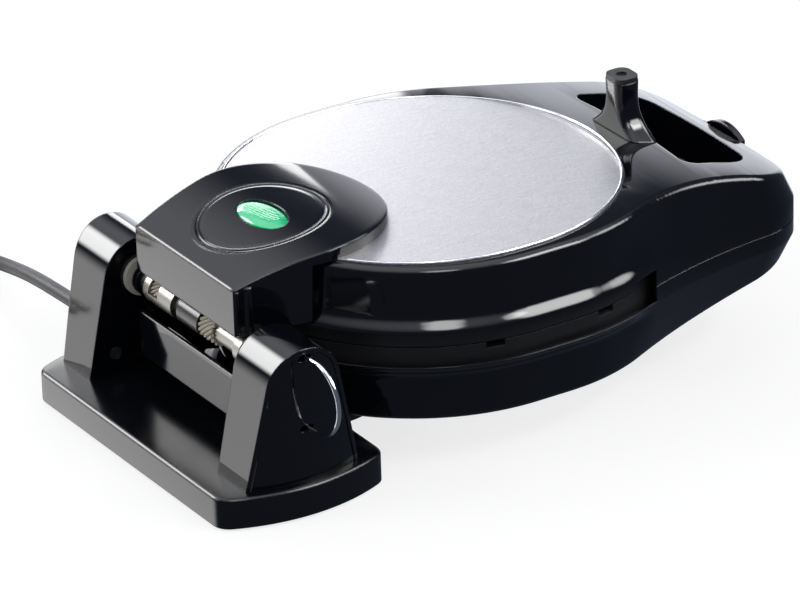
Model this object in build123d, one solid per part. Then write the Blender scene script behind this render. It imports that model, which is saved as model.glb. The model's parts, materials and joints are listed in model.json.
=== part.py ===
from build123d import *
import math
import os

os.makedirs("parts", exist_ok=True)

# A rotating waffle maker, in millimetres. The origin is on the table under the middle of the pivot.
# X runs from the pivot to the handle, Y along the pivot, Z up. The two halves are mirrored about the pivot's
# height, so each piece of a half is drawn once, with its height measured from that plane.

# Clearances
running_gap = 0.05
moving_gap = 0.3
seat_gap = 0.1

# Pivot and its fittings
tube_r = 6.0
tube_bore_r = 4.6
barrel_r = 8.5
collar_width = 4.0
collar_inset = 9.5
bush_wall = 2.5
bush_inner_length = 4.0

# Stand
base_half_width = 48.3
base_bow = 12.2
base_corner_r = 10.0
base_top = 17.5
base_wall = 2.5
base_edge_fillet = 2.0
pad_thickness = 1.2
pad_margin = 9.0
bottom_cover_thickness = 2.0
base_boss_r = 4.5
base_screw_inset = 15.0
base_screw_depth = 8.0
screw_r = 1.75
screw_head_r = 3.2
screw_head_height = 1.6

# Uprights
upright_r = 21.5
upright_foot_half_width = 32.8
upright_cover_gap = 5.9
upright_depth = 34.0
upright_end_margin = 5.0
upright_wall = 2.6
upright_floor = 1.2
upright_plate_thickness = 2.4
upright_plate_rim = 2.4
upright_plate_recess = 0.4
upright_boss_r = 4.0
upright_boss_x = 17.0
upright_boss_height = 11.0
upright_screw_length = 18.0

# Lock in the near upright
lock_disc_r = 17.5
lock_disc_thickness = 4.0
lock_hub_length = 4.0
lock_notch_radius = 13.5
lock_prong_half_width = 2.0
lock_prong_depth = 3.4
lock_travel = 5.0
lock_drawn = 4.0
lock_stop_gap = 0.6
lock_yoke_half_width = 4.0
lock_yoke_thickness = 4.8

# Wire ring on the lock
ring_wire_r = 1.3
ring_bow_r = 19.3
ring_drop = 2.7
ring_stand_off = 7.2
ring_swing_at_rest = 4.9
ring_bend_r = 1.6
ring_end_length = 3.6
ring_slot_half_length = 4.0

# Plan of the cooker's body and handle
pivot_to_body = 15.5
body_stretch = 20.0
disc_border = 14.5
body_shoulder_deg = 22.0
handle_side_deg = 4.0
handle_narrowing = 29.9
handle_corner_r = 36.0
nose_deg = 4.0
body_draft = 7.5
handle_draft = 15.0
top_shoulder_deg = 28.0
top_side_deg = 6.0
top_corner_r = 28.0

# Heights in a half, from the plane between the halves
seam_gap = 0.3
lip_height = 9.0
recess_end_offset = 56.0
rim_height = 42.0
rim_round = 5.0
draft_height = 44.0
bend_offset = 45.0
bend_r = 345.0
shell_wall = 2.8
rear_gate_depth = 17.0
rear_gate_margin = 2.0

# Steel disc
disc_r = 100.0
disc_rear_offset = 3.5
disc_front_offset = 16.0
disc_thickness = 2.0
disc_seat_depth = 1.0
disc_seat_width = 12.0

# Finger opening of the handle
opening_offset = 106.5
opening_length = 41.5
opening_rear_bow = 4.5
opening_front_bow = 5.0
opening_half_width = 54.0
opening_rear_r = 8.0
opening_front_r = 18.0
opening_wall = 2.6

# Hinge cover
cover_rear_x = -10.6
cover_rear_half_width = 47.8
cover_round_x = 42.5
cover_round_r = 57.5
cover_gap_height = 11.6
cover_rear_height = 36.5
cover_mid_x = 55.0
cover_mid_height = 49.6
cover_front_height = 45.8
cover_wall = 2.5
insert_x = 36.0
insert_r = 33.6
insert_depth = 1.4
lens_half_length = 18.4
lens_half_width = 10.0
lens_top_height = 49.8
lens_base_clearance = 1.2

# Pillar foot
pillar_inset = 2.5
pillar_corner_r = 5.5
pillar_tip_length = 14.5
pillar_tip_width = 16.5
pillar_waist_height = 50.0
pillar_waist_width = 19.0
pillar_foot_length = 15.0
pillar_foot_width = 52.0
pillar_tip_thickness = 2.6

# Cooking plates
plate_inset = 5.2
plate_height = 12.0
cavity_offset = 2.0
cavity_r = 90.0
cavity_depth = 9.0
post_pitch = 21.0
post_width = 12.0
post_height = 5.5
divider_width = 3.0
vent_width = 10.0
vent_height = 3.2
vent_angles = (-104, -70, 70, 104, 160, -160)

# Inside of a half
element_r = 66.0
element_tube_r = 3.5
element_gap_deg = 16.0
element_pin_height = 13.0
shield_overhang = 18.0
shield_thickness = 0.8
shield_height = 22.0
shield_post_r = 3.5
shield_post_gap = 2.0
shield_post_angles = (-130, -50, 50, 130)
bracket_thickness = 2.2
bracket_front_x = 52.0
bracket_half_width = 44.0
arm_bottom = 3.5
boss_cavity_gap = 6.5
boss_r = 4.6
boss_angles = (-135, -45, 45, 135)
thermostat_size = (26.0, 18.0, 9.0)
lamp_r = 4.0
lamp_collar_height = 24.0

# Latch on the front of the upper handle
latch_half_width = 15.5
latch_recess_depth = 6.5
latch_recess_wall = 2.6
latch_cheek = 3.0
latch_thickness = 3.2
latch_pin_r = 1.6
latch_boss_r = 2.8
latch_pin_height = 10.0
latch_shoulder_height = 19.0
latch_tab_height = 24.0
latch_hook_height = 11.0
latch_hook_thickness = 2.4
latch_hook_length = 1.9
latch_travel_room = 2.5

# Supply cord, a lead of about 0.95 m; the route's points are chosen by hand
cord_r = 3.75
cord_exit_height = 25.0
relief_length = 26.0
relief_root_r = 6.4
relief_neck_r = 5.2
relief_flange = 2.5
cord_points = [(0, 150, 24.0), (1.5, 185, 20.5), (4, 216, 13.5), (5.5, 246, 6.5), (2, 275, 3.9)]
coil_centre = (-30.0, 330.0)
coil_outer_r = 45.0
coil_pitch = 9.4
coil_layer_rise = 8.4
coil_start_deg = -10.0
coil_layer_turns = 1.0
coil_floor = 0.15
tie_width = 9.0
tie_thickness = 1.2

# Plug
tail_length = 52.0
tail_offset = 9.0
plug_turn_deg = 24.0
plug_neck_length = 18.0
plug_length = 34.0
plug_width = 34.0
plug_thickness = 15.0
plug_pin_r = 2.4
plug_pin_length = 19.0
plug_pin_spacing = 19.0

# Terminal block inside the base
terminal_length = 32.0
terminal_width = 24.0
terminal_y = 32.0

# Places that follow from the sizes above
pivot_height = base_top + lens_base_clearance + lens_top_height
upright_inner_y = cover_round_r + upright_cover_gap
upright_outer_y = upright_inner_y + upright_depth
base_half_length = upright_outer_y + upright_end_margin - base_bow
seat_floor = pad_thickness + bottom_cover_thickness
body_r = disc_r + disc_border
body_rear_x = pivot_to_body + body_r
body_front_x = body_rear_x + body_stretch
handle_half_width = body_r - handle_narrowing
disc_rear_x = body_rear_x - disc_rear_offset
disc_front_x = body_front_x - disc_front_offset
disc_window_x = (disc_rear_x + disc_front_x) / 2
disc_window_r = disc_r - disc_seat_width
bend_x = body_front_x + bend_offset
recess_end_x = body_front_x + recess_end_offset
opening_rear_x = body_front_x + opening_offset
opening_front_x = opening_rear_x + opening_length
pillar_x = opening_rear_x - pillar_inset
plate_r = body_r - plate_inset
plate_front_x = opening_rear_x - opening_wall
cavity_x = body_rear_x + cavity_offset
boss_circle_r = cavity_r + boss_cavity_gap
shield_r = element_r + shield_overhang
shield_post_circle_r = element_r + element_tube_r + shield_post_gap + shield_post_r


def write(shape, name):
    export_step(shape, f"parts/{name}.step")


def block(x0, x1, y0, y1, z0, z1):
    return Pos((x0 + x1) / 2, (y0 + y1) / 2, (z0 + z1) / 2) * Box(x1 - x0, y1 - y0, z1 - z0)


def rod_x(y, z, r, x0, x1):
    return Pos((x0 + x1) / 2, y, z) * Rot(0, 90, 0) * Cylinder(r, x1 - x0)


def rod_y(x, z, r, y0, y1):
    return Pos(x, (y0 + y1) / 2, z) * Rot(90, 0, 0) * Cylinder(r, y1 - y0)


def rod_z(x, y, r, z0, z1):
    return Pos(x, y, (z0 + z1) / 2) * Cylinder(r, z1 - z0)


def upper(shape):
    return Pos(0, 0, pivot_height) * shape


def lower(shape):
    return Pos(0, 0, pivot_height) * mirror(shape, about=Plane.XY)


# Stand: a hollow base with bowed ends, closed below by a cover with a non-slip pad

def base_plan(inset):
    half_width = base_half_width - inset
    half_length = base_half_length - inset
    end = half_length + base_bow
    right = Line((half_width, -half_length), (half_width, half_length))
    far = ThreePointArc(right @ 1, (0, end), (-half_width, half_length))
    left = Line(far @ 1, (-half_width, -half_length))
    near = ThreePointArc(left @ 1, (0, -end), right @ 0)
    plan = make_face([right, far, left, near])
    return fillet(plan.vertices(), max(base_corner_r - inset, 2.0))


def base_screw_places():
    x = base_half_width - base_screw_inset
    y = base_half_length - base_screw_inset
    return [(sx * x, sy * y) for sx in (-1, 1) for sy in (-1, 1)]


base_outer = Pos(0, 0, pad_thickness) * extrude(base_plan(0), base_top - pad_thickness)
base_outer = fillet(base_outer.edges().group_by(Axis.Z)[-1], base_edge_fillet)
base_hollow = extrude(base_plan(base_wall), base_top - base_wall)
base_shell = base_outer - base_hollow
for x, y in base_screw_places():
    boss = rod_z(x, y, base_boss_r, seat_floor, base_top - base_wall)
    base_shell += boss
    base_shell -= rod_z(x, y, screw_r + running_gap, seat_floor, base_top - base_wall)
write(base_shell, "base_shell")

base_cover = Pos(0, 0, pad_thickness) * extrude(base_plan(base_wall + seat_gap), bottom_cover_thickness)
base_screws = []
for x, y in base_screw_places():
    head_top = pad_thickness + screw_head_height
    base_cover -= rod_z(x, y, screw_head_r + running_gap, pad_thickness, head_top)
    base_cover -= rod_z(x, y, screw_r + running_gap, pad_thickness, seat_floor)
    screw = rod_z(x, y, screw_head_r, pad_thickness, head_top)
    screw += rod_z(x, y, screw_r, head_top, seat_floor + base_screw_depth)
    base_screws.append(screw)
write(base_cover, "base_bottom_cover")
write(Compound(base_screws), "base_screws")

base_pad = extrude(base_plan(pad_margin), pad_thickness)
write(base_pad, "base_pad")


# Uprights: hollow A-shaped housings, each closed on its outer side by a recessed plate

def upright_face(inset):
    r = upright_r - inset
    foot = upright_foot_half_width - inset
    drop = pivot_height - base_top
    reach = math.hypot(foot, drop)
    touch = math.atan2(-drop, foot) + math.acos(r / reach)
    tangent = (r * math.cos(touch), r * math.sin(touch))
    crown = ThreePointArc(tangent, (0, r), (-tangent[0], tangent[1]))
    outline = [
        crown,
        Line(crown @ 1, (-foot, -drop)),
        Line((-foot, -drop), (foot, -drop)),
        Line((foot, -drop), crown @ 0),
    ]
    return make_face(outline)


def upright_block(inset, y0, y1):
    face = Plane.XZ * upright_face(inset)
    return Pos(0, y1, pivot_height) * extrude(face, y1 - y0)


def end_prism(inset):
    return extrude(base_plan(inset), 3 * pivot_height)


def far_upright_solids():
    outer = upright_block(0, upright_inner_y, upright_outer_y + base_bow) & end_prism(upright_end_margin)
    plate_back = upright_end_margin + upright_plate_thickness
    hollow = upright_block(upright_wall, upright_inner_y + upright_wall, upright_outer_y)
    hollow -= block(-base_half_width, base_half_width, 0, upright_outer_y, 0, base_top + upright_floor)
    recess = upright_block(upright_plate_rim, upright_inner_y, upright_outer_y + base_bow)
    recess -= end_prism(plate_back)
    shell = outer - (hollow & end_prism(plate_back - running_gap)) - recess
    plate = upright_block(upright_plate_rim + seat_gap, upright_inner_y, upright_outer_y + base_bow)
    plate = (plate & end_prism(upright_end_margin + upright_plate_recess)) - end_prism(plate_back)
    return shell, plate


def upright_screw_places():
    height = base_top + upright_boss_height
    return [(-upright_boss_x, height), (upright_boss_x, height)]


upright_shell, upright_plate = far_upright_solids()
upright_boss_end = upright_outer_y - upright_plate_thickness - 3.0
bush_r = tube_r + running_gap + bush_wall
bush_y0 = upright_inner_y - 1.0
bush_y1 = upright_inner_y + upright_wall + bush_inner_length
bearing_boss = rod_y(0, pivot_height, bush_r + 2.4, upright_inner_y + 0.5, bush_y1)
upright_shell += bearing_boss
upright_shell -= rod_y(0, pivot_height, bush_r, upright_inner_y - 1, bush_y1 + 1)
upright_screws = []
for x, z in upright_screw_places():
    upright_shell += rod_y(x, z, upright_boss_r, upright_inner_y + 0.5, upright_boss_end)
    upright_shell -= rod_y(x, z, screw_r + running_gap, upright_inner_y - 1, upright_boss_end)
    head_end = upright_inner_y + screw_head_height
    upright_shell -= rod_y(x, z, screw_head_r + running_gap, upright_inner_y - 1, head_end)
    screw = rod_y(x, z, screw_head_r, upright_inner_y + 0.1, head_end)
    screw += rod_y(x, z, screw_r, head_end, head_end + upright_screw_length)
    upright_screws.append(screw)
    upright_screws.append(mirror(screw, about=Plane.XZ))

relief_hole = rod_y(0, cord_exit_height, relief_neck_r + seat_gap, upright_inner_y + 15, upright_outer_y + 10)
ring_height = pivot_height - ring_drop
ring_slot = Plane.XZ * SlotOverall(2 * ring_slot_half_length, 2 * (ring_wire_r + moving_gap))
near_plate = mirror(upright_plate, about=Plane.XZ)
for side in (-1, 1):
    slot_height = ring_height + side * ring_bow_r
    near_plate -= Pos(0, -upright_inner_y, slot_height) * extrude(ring_slot, upright_depth)
write(upright_shell, "far_upright")
write(mirror(upright_shell, about=Plane.XZ), "near_upright")
write(upright_plate - relief_hole, "far_upright_plate")
write(near_plate, "near_upright_plate")
write(Compound(upright_screws), "upright_screws")

bush = rod_y(0, pivot_height, bush_r - running_gap, bush_y0, bush_y1)
bush += rod_y(0, pivot_height, bush_r + 2.0, bush_y0 - 1.5, upright_inner_y - 0.02)
bush -= rod_y(0, pivot_height, tube_r + running_gap, bush_y0 - 3, bush_y1 + 1)
write(bush, "far_bush")
write(mirror(bush, about=Plane.XZ), "near_bush")


# Pivot tube with its fittings, which turn with the lower half

plate_back_y = upright_outer_y - upright_plate_thickness
tube_end_y = plate_back_y - lock_travel - 2 * lock_stop_gap - lock_yoke_thickness
tube = rod_y(0, pivot_height, tube_r, -tube_end_y, tube_end_y)
tube -= rod_y(0, pivot_height, tube_bore_r, -tube_end_y - 1, tube_end_y + 1)
write(tube, "pivot_tube")

lock_disc_y0 = -tube_end_y
lock_disc_y1 = lock_disc_y0 + lock_disc_thickness
lock_disc = rod_y(0, pivot_height, lock_disc_r, lock_disc_y0, lock_disc_y1)
lock_hub_y1 = lock_disc_y1 + lock_hub_length
lock_disc += rod_y(0, pivot_height, tube_r + bush_wall, lock_disc_y0, lock_hub_y1)
lock_disc -= rod_y(0, pivot_height, tube_r + running_gap, lock_disc_y0 - 1, lock_hub_y1 + 1)
notch_half = lock_prong_half_width + moving_gap
for side in (-1, 1):
    notch_end = pivot_height + side * (lock_notch_radius - notch_half)
    z0, z1 = sorted((notch_end, pivot_height + side * 2 * lock_disc_r))
    lock_disc -= block(-notch_half, notch_half, lock_disc_y0 - 1, lock_disc_y1 + 1, z0, z1)
write(lock_disc, "lock_disc")

collar_y = upright_inner_y - collar_inset
collar = rod_y(0, pivot_height, barrel_r, collar_y, collar_y + collar_width)
collar -= rod_y(0, pivot_height, tube_r + running_gap, collar_y - 1, collar_y + collar_width + 1)
write(collar, "tube_collar")

upper_barrels = [(20.0, 47.0), (-46.5, -41.0)]
lower_barrels = [(-6.0, 14.0)]
far_sleeve_y = (30.0, 44.0)
near_sleeve_y = (-20.0, -6.3)
sleeve_r = 7.3
near_sleeve_r = 8.0
sleeves = {
    "far_lead_sleeve": (far_sleeve_y, sleeve_r - moving_gap),
    "near_lead_sleeve": (near_sleeve_y, near_sleeve_r),
}
for name, ((y0, y1), r) in sleeves.items():
    sleeve = rod_y(0, pivot_height, r, y0, y1) - rod_y(0, pivot_height, tube_r + running_gap, y0 - 1, y1 + 1)
    write(sleeve, name)


# Lock yoke behind the near plate: a bar with two prongs, drawn out of the disc's notches as the cooker turns,
# and a hole at each end for the wire ring

yoke_y1 = lock_disc_y0 - lock_stop_gap - lock_drawn
yoke_y0 = yoke_y1 - lock_yoke_thickness
yoke_half_height = ring_bow_r - ring_wire_r - moving_gap
ring_axis_y = (yoke_y0 + yoke_y1) / 2
yoke = Pos(0, ring_axis_y, ring_height) * Box(
    2 * lock_yoke_half_width, lock_yoke_thickness, 2 * yoke_half_height
)
ring_hole_inner = ring_bow_r - ring_bend_r - ring_end_length - moving_gap
for side in (-1, 1):
    prong_z = pivot_height + side * (lock_notch_radius + moving_gap)
    prong_y1 = lock_disc_y0 + lock_prong_depth - lock_drawn
    half = lock_prong_half_width
    yoke += block(-half, half, yoke_y1 - 1, prong_y1, prong_z - half, prong_z + half)
    z0, z1 = sorted((ring_height + side * ring_hole_inner, ring_height + side * (yoke_half_height + 1)))
    yoke -= rod_z(0, ring_axis_y, ring_wire_r + running_gap, z0, z1)
write(yoke, "lock_yoke")

# The wire ring: a half circle whose two legs go through the plate's slots and turn into the yoke's ends
plate_face_y = -(upright_outer_y - upright_plate_recess)
bow_out = ring_axis_y - plate_face_y + ring_stand_off
end_inner = ring_bow_r - ring_bend_r - ring_end_length
first_end = Line((0, end_inner), (0, ring_bow_r - ring_bend_r))
first_bend = JernArc(first_end @ 1, first_end % 1, ring_bend_r, -90)
first_leg = Line(first_bend @ 1, (bow_out, ring_bow_r))
bow = CenterArc((bow_out, 0), ring_bow_r, 90, -180)
second_leg = Line(bow @ 1, (ring_bend_r, -ring_bow_r))
second_bend = JernArc(second_leg @ 1, second_leg % 1, ring_bend_r, -90)
second_end = Line(second_bend @ 1, (0, -end_inner))
ring_path = Wire([first_end, first_bend, first_leg, bow, second_leg, second_bend, second_end])
ring = sweep(Plane(origin=ring_path @ 0, z_dir=ring_path % 0) * Circle(ring_wire_r), path=ring_path)
ring = Plane(origin=(0, 0, 0), x_dir=(0, -1, 0), z_dir=(-1, 0, 0)) * ring
ring = Pos(0, ring_axis_y, ring_height) * Rot(0, 0, ring_swing_at_rest) * ring
write(ring, "pull_ring")


# Plan outlines of a half

def body_outline(r, shoulder, side_deg, half_width, corner_r, height):
    a = math.radians(shoulder)
    e = math.radians(side_deg)
    side_r = (r * math.cos(a) - half_width) / (math.cos(e) - math.cos(a))
    rear = CenterArc((body_rear_x, 0), r, 180, 90)
    straight = Line(rear @ 1, (body_front_x, -r))
    front = CenterArc((body_front_x, 0), r, 270, shoulder)
    side = JernArc(front @ 1, front % 1, side_r, side_deg - shoulder)
    corner = JernArc(side @ 1, side % 1, corner_r, 90 - nose_deg - side_deg)
    nose_r = -(corner @ 1).Y / math.sin(math.radians(nose_deg))
    nose = JernArc(corner @ 1, corner % 1, nose_r, nose_deg)
    near = [rear, straight, front, side, corner, nose]
    far = [mirror(edge, about=Plane.XZ) for edge in near]
    return Pos(0, 0, height) * make_face(near + far)


def seam_outline(grow, height):
    return body_outline(
        body_r + grow,
        body_shoulder_deg,
        handle_side_deg,
        handle_half_width + grow,
        handle_corner_r + grow,
        height,
    )


def top_outline(grow, height):
    return body_outline(
        body_r - body_draft + grow,
        top_shoulder_deg,
        top_side_deg,
        handle_half_width - handle_draft + grow,
        top_corner_r + grow,
        height,
    )


def stadium(r, rear_x, front_x):
    return Pos((rear_x + front_x) / 2, 0) * SlotCenterToCenter(front_x - rear_x, 2 * r)


def under_top(raise_by):
    """Everything below the top surface of a half, which is flat and then bends down over the handle."""
    top = rim_height + raise_by
    r = bend_r + raise_by
    far_x = body_front_x + 1.7 * body_r
    sweep_deg = math.degrees(math.asin((far_x - bend_x) / r))
    bend = CenterArc((bend_x, top - r), r, 90, -sweep_deg)
    low = -2 * rim_height
    edges = [
        Line((-base_half_width, low), (-base_half_width, top)),
        Line((-base_half_width, top), (bend_x, top)),
        bend,
        Line(bend @ 1, (far_x, low)),
        Line((far_x, low), (-base_half_width, low)),
    ]
    return extrude(Plane.XZ * make_face(edges), 1.5 * body_r, both=True)


def top_at(x):
    if x <= bend_x:
        return rim_height
    return rim_height - bend_r + math.sqrt(bend_r**2 - (x - bend_x) ** 2)


def half_solid(grow, drop):
    """The outer form of a half, grown sideways and lowered at the top."""
    walls = loft([seam_outline(grow, lip_height), top_outline(grow, draft_height)], ruled=True)
    return walls & under_top(-drop)


def rim_edges(solid):
    """The edges round a half's top surface."""
    found = []
    for edge in solid.edges():
        middle = edge.center()
        flat_edge = abs(edge.position_at(0.5).Z - top_at(edge.position_at(0.5).X)) < 0.05
        if flat_edge and math.hypot(middle.X - body_rear_x, middle.Y) > body_r / 2:
            found.append(edge)
    return found


def opening_prism(grow):
    x0 = opening_rear_x - grow
    x1 = opening_front_x + grow
    w = opening_half_width + grow
    rear = ThreePointArc((x0, w), (x0 + opening_rear_bow, 0), (x0, -w))
    front = ThreePointArc((x1, -w), (x1 + opening_front_bow, 0), (x1, w))
    plan = make_face([rear, Line(rear @ 1, front @ 0), front, Line(front @ 1, rear @ 0)])
    corners = plan.vertices().sort_by(Axis.X)
    plan = fillet(corners[2:], opening_front_r + grow)
    plan = fillet(plan.vertices().sort_by(Axis.X)[:2], opening_rear_r + grow)
    return Pos(0, 0, -rim_height) * extrude(plan, 3 * rim_height)


def disc_plan(grow):
    return stadium(disc_r + grow, disc_rear_x, disc_front_x)


def boss_places():
    x0 = (body_rear_x + body_front_x) / 2
    return [
        (x0 + boss_circle_r * math.cos(math.radians(a)), boss_circle_r * math.sin(math.radians(a)))
        for a in boss_angles
    ]


# Front face of the handle at the seam, where the latch sits
nose_x = (seam_outline(0, 0).vertices().sort_by(Axis.X)[-1]).X
latch_wall_x = nose_x - latch_recess_depth
latch_out_x = nose_x - 1.3
latch_in_x = latch_out_x - latch_thickness
latch_pin_x = (latch_in_x + latch_out_x) / 2
screw_seat = rim_height - disc_seat_depth - screw_head_height - 0.6
tall = 3 * rim_height


# Shell of a half: an outer form, hollowed, with a collar round the finger opening

def shell():
    outer = half_solid(0, 0)
    outer = fillet(rim_edges(outer), rim_round)
    apron = extrude(seam_outline(0, seam_gap), lip_height - seam_gap)
    outer += apron & block(recess_end_x, 2 * nose_x, -tall, tall, 0, lip_height)
    inner = half_solid(-shell_wall, shell_wall)
    inner += extrude(seam_outline(-shell_wall, 0), lip_height)
    collar = outer & opening_prism(opening_wall)
    cheek_y = latch_half_width + latch_cheek
    recess_wall = outer & block(latch_wall_x - latch_recess_wall, nose_x + 1, -cheek_y, cheek_y, 0, tall)
    body = (outer - inner) + collar + recess_wall
    body -= opening_prism(0)
    body -= extrude(disc_plan(seat_gap), tall) & (under_top(disc_thickness) - under_top(-disc_seat_depth))
    body -= extrude(Pos(disc_window_x, 0) * Circle(disc_window_r), tall)
    gate = bracket_half_width + rear_gate_margin
    gate_top = plate_height + bracket_thickness + 3
    body -= block(-tall, pivot_to_body + rear_gate_depth, -gate, gate, 0, gate_top)
    for x, y in boss_places():
        body += rod_z(x, y, boss_r, plate_height + 0.1, screw_seat + 1)
        body -= rod_z(x, y, screw_r + running_gap, 0, tall)
        body -= rod_z(x, y, screw_head_r + running_gap, screw_seat, tall)
    body -= rod_z(insert_x, 0, lamp_r + 2, 0, tall)
    body -= block(latch_wall_x, 2 * nose_x, -latch_half_width - 0.5, latch_half_width + 0.5, -1, tall)
    return body


def disc():
    plan = extrude(disc_plan(0), tall)
    sheet = plan & (under_top(disc_thickness - disc_seat_depth) - under_top(-disc_seat_depth))
    return sheet - rod_z(insert_x, 0, lamp_r + 2, 0, tall)


shell_solid = shell()
disc_solid = disc()

# The upper shell carries the latch pin, and the lower shell the ledge that the hook goes under
ledge_height = latch_hook_height - latch_hook_thickness - moving_gap
pocket_bottom = latch_hook_height + latch_travel_room
pin_reach = latch_half_width + latch_cheek
pin_hole = rod_y(latch_pin_x, latch_pin_height, latch_pin_r + running_gap, -pin_reach, pin_reach)
upper_shell = shell_solid - pin_hole
pocket_half = latch_half_width + 0.5
pocket_back_x = latch_wall_x - latch_recess_wall - 1
hook_pocket = block(pocket_back_x, nose_x, -pocket_half, pocket_half, ledge_height, pocket_bottom)
write(upper(upper_shell), "upper_shell")
write(lower(shell_solid - hook_pocket), "lower_shell")
write(upper(disc_solid), "upper_disc")
write(lower(disc_solid), "lower_disc")


# Hinge cover, its round insert and the lens

def cover_dome(raise_by):
    """Everything below the cover's crowned top."""
    front_x = cover_round_x + cover_round_r
    crown = ThreePointArc(
        (cover_rear_x, cover_rear_height + raise_by),
        (cover_mid_x, cover_mid_height + raise_by),
        (front_x, cover_front_height + raise_by),
    )
    edges = [
        crown,
        Line(crown @ 1, (front_x + 5, cover_front_height + raise_by)),
        Line((front_x + 5, cover_front_height + raise_by), (front_x + 5, -5)),
        Line((front_x + 5, -5), (cover_rear_x - 5, -5)),
        Line((cover_rear_x - 5, -5), (cover_rear_x - 5, cover_rear_height + raise_by)),
        Line((cover_rear_x - 5, cover_rear_height + raise_by), crown @ 0),
    ]
    return extrude(Plane.XZ * make_face(edges), body_r, both=True)


def cover_plan(inset):
    x0 = cover_rear_x + inset
    w = cover_rear_half_width - inset
    r = cover_round_r - inset
    dx = x0 - cover_round_x
    reach = math.hypot(dx, w)
    touch = math.atan2(-w, dx) + math.acos(r / reach)
    tangent = (cover_round_x + r * math.cos(touch), r * math.sin(touch))
    rear = Line((x0, w), (x0, -w))
    near = Line(rear @ 1, tangent)
    front = ThreePointArc(near @ 1, (cover_round_x + r, 0), (tangent[0], -tangent[1]))
    far = Line(front @ 1, rear @ 0)
    return make_face([rear, near, front, far])


def cover():
    outer = Pos(0, 0, cover_gap_height) * extrude(cover_plan(0), tall) & cover_dome(0)
    inner = extrude(cover_plan(cover_wall), tall) & cover_dome(-cover_wall)
    body = outer - inner
    seat = Pos(insert_x, 0, 0) * extrude(Circle(insert_r + 3), tall)
    body += seat & (cover_dome(-1.0) - cover_dome(-3.4))
    body -= half_solid(seat_gap, -seat_gap)
    body -= extrude(disc_plan(seat_gap), tall) & under_top(disc_thickness - disc_seat_depth + seat_gap)
    body -= (Pos(insert_x, 0, 0) * extrude(Circle(insert_r + seat_gap), tall)) - cover_dome(-insert_depth)
    return body - lens_window()


def lens_window():
    oval = Ellipse(lens_half_width + seat_gap, lens_half_length + seat_gap)
    return Pos(insert_x, 0, 0) * extrude(oval, tall)


def insert():
    body = Pos(insert_x, 0, 0) * extrude(Circle(insert_r), tall)
    body = (body & cover_dome(0.15)) - cover_dome(-insert_depth + 0.02)
    groove = Circle(insert_r - 1.2) - Circle(insert_r - 2.0)
    body -= (Pos(insert_x, 0, 0) * extrude(groove, tall)) - cover_dome(-0.45)
    return body - lens_window()


def lens():
    bottom = rim_height + disc_thickness
    oval = Ellipse(lens_half_width, lens_half_length)
    body = Pos(insert_x, 0, bottom) * extrude(oval, lens_top_height - bottom)
    return fillet(body.edges().group_by(Axis.Z)[-1], 1.3)


cover_solid = cover()
insert_solid = insert()
lens_solid = lens()
for side, place in (("upper", upper), ("lower", lower)):
    write(place(cover_solid), f"{side}_hinge_cover")
    write(place(insert_solid), f"{side}_insert")
    write(place(lens_solid), f"{side}_lens")


# Pillar foot: a flared post on the body's front edge, tipped with rubber

def pillar_section(length, width, r, height):
    return Pos(pillar_x, 0, height) * RectangleRounded(length, width, r)


pillar_top = pivot_height - pillar_tip_thickness
pillar_seat = top_at(pillar_x)
pillar_upper = (pillar_waist_height + pillar_top) / 2
pillar_flare = (pillar_foot_width + pillar_waist_width) / 2
pillar_solid = loft(
    [
        pillar_section(pillar_foot_length, pillar_foot_width, 4, pillar_seat - 5),
        pillar_section(pillar_foot_length - 1, pillar_flare, 4, pillar_seat + 3),
        pillar_section(pillar_tip_length - 1, pillar_waist_width, 5, pillar_waist_height),
        pillar_section(pillar_tip_length - 0.5, pillar_tip_width, pillar_corner_r, pillar_upper),
        pillar_section(pillar_tip_length, pillar_tip_width, pillar_corner_r, pillar_top),
    ]
)
pillar_solid -= under_top(0.02)
tip_length = pillar_tip_length - 0.6
tip_width = pillar_tip_width - 0.6
tip_section = pillar_section(tip_length, tip_width, pillar_corner_r - 0.3, pillar_top)
tip_solid = extrude(tip_section, pillar_tip_thickness)
tip_solid -= rod_z(pillar_x, 0, 3.0, pivot_height - 1.4, tall)
for side, place in (("upper", upper), ("lower", lower)):
    write(place(pillar_solid), f"{side}_foot")
    write(place(tip_solid), f"{side}_foot_tip")


# Cast waffle plate with its grid, vents in the lower one

def plate():
    body = Pos(0, 0, seam_gap) * extrude(stadium(plate_r, body_rear_x, body_front_x), plate_height - seam_gap)
    floor = seam_gap + cavity_depth
    body &= block(0, plate_front_x, -tall, tall, 0, tall)
    body -= Pos(cavity_x, 0, 0) * extrude(Circle(cavity_r), floor)
    count = int(cavity_r / post_pitch)
    posts = []
    for i in range(-count, count):
        for j in range(-count, count):
            x = (i + 0.5) * post_pitch
            y = (j + 0.5) * post_pitch
            if math.hypot(abs(x) + post_width / 2, abs(y) + post_width / 2) < cavity_r - 4:
                post = Box(post_width, post_width, post_height)
                posts.append(Pos(cavity_x + x, y, floor - post_height / 2) * post)
    bars = []
    bars.append(Pos(cavity_x, 0, floor - 3.5) * Box(2 * cavity_r, divider_width, 7))
    bars.append(Pos(cavity_x, 0, floor - 3.5) * Box(divider_width, 2 * cavity_r, 7))
    body = body.fuse(*posts, *bars)
    for x, y in boss_places():
        body -= rod_z(x, y, screw_r + running_gap, plate_height - 6, plate_height + 1)
    return body


plate_solid = plate()
vent_start = cavity_r - post_width
vent_end = body_front_x + plate_r
vent_half = vent_width / 2
vent_block = block(vent_start, vent_end, -vent_half, vent_half, seam_gap - 0.01, seam_gap + vent_height)
vents = [Rot(0, 0, a) * vent_block for a in vent_angles]
vented_plate = plate_solid
for vent in vents:
    vented_plate -= Pos(cavity_x, 0, 0) * vent
write(upper(plate_solid), "upper_waffle_plate")
write(lower(vented_plate), "lower_waffle_plate")


# Heating element, heat shield on four posts, hinge bracket, thermostat and lamp of a half

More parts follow.
